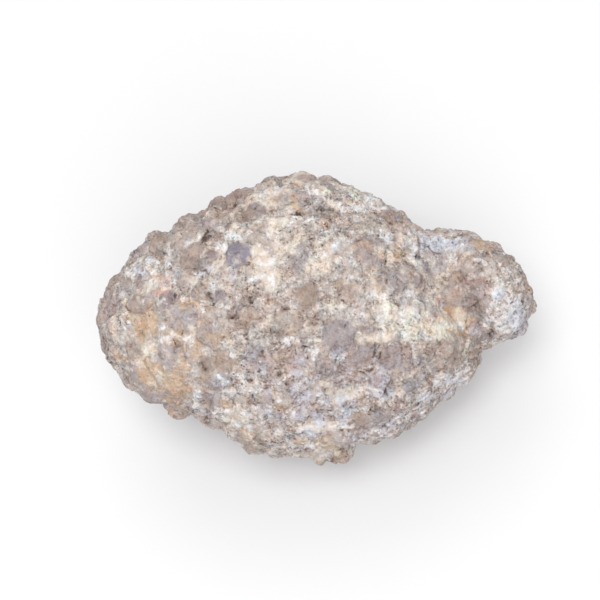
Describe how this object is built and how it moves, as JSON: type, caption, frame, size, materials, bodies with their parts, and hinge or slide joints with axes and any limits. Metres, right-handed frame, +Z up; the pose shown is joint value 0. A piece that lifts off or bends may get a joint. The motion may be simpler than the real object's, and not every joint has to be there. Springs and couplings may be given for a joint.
{
  "type": "thunderegg",
  "caption": "Whole, uncut thunderegg: an oval, knobbly rock nodule with a smaller rounded lobe grown onto one end, resting on its underside.",
  "frame": {"origin": "on the surface that the stone rests on, under the middle of its bounding box in plan", "axes": "+X along the stone's length, towards the smaller lobe; +Y to its back; +Z up from the surface it rests on"},
  "size_m": [0.1778, 0.1158, 0.0993],
  "materials": {
    "stone": "rough, dry and matt: beige-pink rhyolite with grey-mauve nodules, cream and ochre stains and white chalky crust"
  },
  "bodies": {
    "root": {"thunderegg": "stone"}
  },
  "joints": []
}
